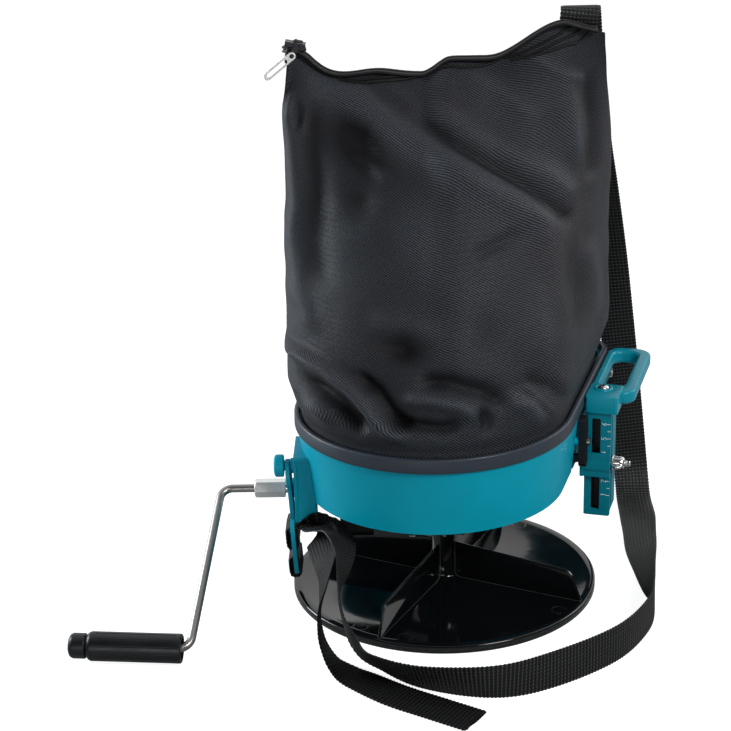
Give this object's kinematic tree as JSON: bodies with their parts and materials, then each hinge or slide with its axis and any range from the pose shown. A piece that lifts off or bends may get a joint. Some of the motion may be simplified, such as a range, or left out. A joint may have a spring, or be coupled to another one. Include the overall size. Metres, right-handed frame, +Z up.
{
  "type": "shoulder spreader",
  "caption": "Hand cranked shoulder spreader with a zipped cloth bag over a U shaped tub, a geared spinner disc, a feed lever with a numbered stop, a side handle and a webbing strap.",
  "frame": {"origin": "centre of the spinner's underside, on the ground", "axes": "+Z up, crank shaft along -X, front of the bag towards -Y"},
  "size_m": [0.4638, 0.4356, 0.4444],
  "materials": {
    "teal_plastic": "semi gloss",
    "black_gloss": "high gloss",
    "grey_band": "satin",
    "black_plastic": "satin",
    "grip_plastic": "matte",
    "steel": "satin",
    "gear_plastic": "matte",
    "bag_cloth": "woven",
    "webbing": "ribbed weave",
    "zip_tape": "woven"
  },
  "bodies": {
    "hopper": {"hopper_tub": "teal_plastic", "rim_band": "grey_band", "gear_housing": "black_plastic", "gear_cover": "black_plastic", "housing_screws": "steel", "cover_screws": "steel", "shaft_bearing": "black_plastic", "bearing_screws": "steel", "crank_bush": "teal_plastic", "bell_pin": "steel", "lever_stud": "steel", "gauge_column": "teal_plastic", "column_liner": "black_plastic", "side_handle": "teal_plastic", "column_screw": "steel", "flange_screws": "steel", "hanger_pin": "teal_plastic", "bag": "bag_cloth", "bag_zipper": "zip_tape", "zipper_slider": "steel", "strap_main": "webbing", "strap_tail": "webbing"},
    "crank": {"drive_shaft": "steel", "crown_gear": "gear_plastic", "hex_coupler": "steel", "crank_rod": "steel", "grip_cap": "grip_plastic"},
    "grip": {"crank_grip": "grip_plastic"},
    "spinner": {"spinner": "black_gloss", "hub_pin": "steel", "spinner_shaft": "steel", "pinion": "gear_plastic"},
    "hanger": {"strap_hanger": "teal_plastic", "strap_wrap": "webbing"},
    "pull": {"zipper_pull": "steel"},
    "lever": {"gate_lever": "black_plastic"},
    "bell": {"bell_crank": "black_plastic"},
    "gate": {"gate_plate": "steel"},
    "stop": {"rate_stop": "teal_plastic", "clamp_bolt": "steel"},
    "nut": {"wing_nut": "steel"}
  },
  "joints": [
    {"name": "crank_turn", "type": "hinge", "parent": "hopper", "child": "crank", "pos_m": [-0.12, 0, 0.083], "axis": [-1, 0, 0], "continuous": true},
    {"name": "spinner_turn", "type": "hinge", "parent": "hopper", "child": "spinner", "pos_m": [0, 0, 0.05], "axis": [0, 0, 1], "continuous": true},
    {"name": "grip_spin", "type": "hinge", "parent": "crank", "child": "grip", "pos_m": [-0.19052, -0.12603, 0.0113], "axis": [-0.9986, 0.0455, 0.0259], "continuous": true},
    {"name": "hanger_swing", "type": "hinge", "parent": "hopper", "child": "hanger", "pos_m": [-0.12, -0.016, 0.109], "axis": [1, 0, 0], "range_deg": [-50, 0]},
    {"name": "pull_swing", "type": "hinge", "parent": "hopper", "child": "pull", "pos_m": [-0.1095, 0.0521, 0.414], "axis": [0, 1, 0], "range_deg": [-25, 60]},
    {"name": "lever_slide", "type": "slide", "parent": "hopper", "child": "lever", "axis": [0, 0, -1], "range_m": [0, 0.0164]},
    {"name": "bell_turn", "type": "hinge", "parent": "hopper", "child": "bell", "pos_m": [0.08753, 0.02673, 0.088], "axis": [0.2656, 0.9641, 0], "range_deg": [0, 40.1]},
    {"name": "gate_slide", "type": "slide", "parent": "hopper", "child": "gate", "axis": [0.9641, -0.2656, 0], "range_m": [0, 0.0146]},
    {"name": "stop_slide", "type": "slide", "parent": "hopper", "child": "stop", "axis": [0, 0, -1], "range_m": [-0.016, 0.028]},
    {"name": "nut_turn", "type": "hinge", "parent": "stop", "child": "nut", "pos_m": [0.13902, 0.02914, 0.087], "axis": [0.9641, -0.2656, 0], "continuous": true}
  ],
  "couplings": [
    {"joint": "spinner_turn", "follows": "crank_turn", "ratio": -2.6667},
    {"joint": "bell_turn", "follows": "lever_slide", "rad_per_m": 42.569},
    {"joint": "gate_slide", "follows": "lever_slide", "ratio": 0.88425}
  ]
}
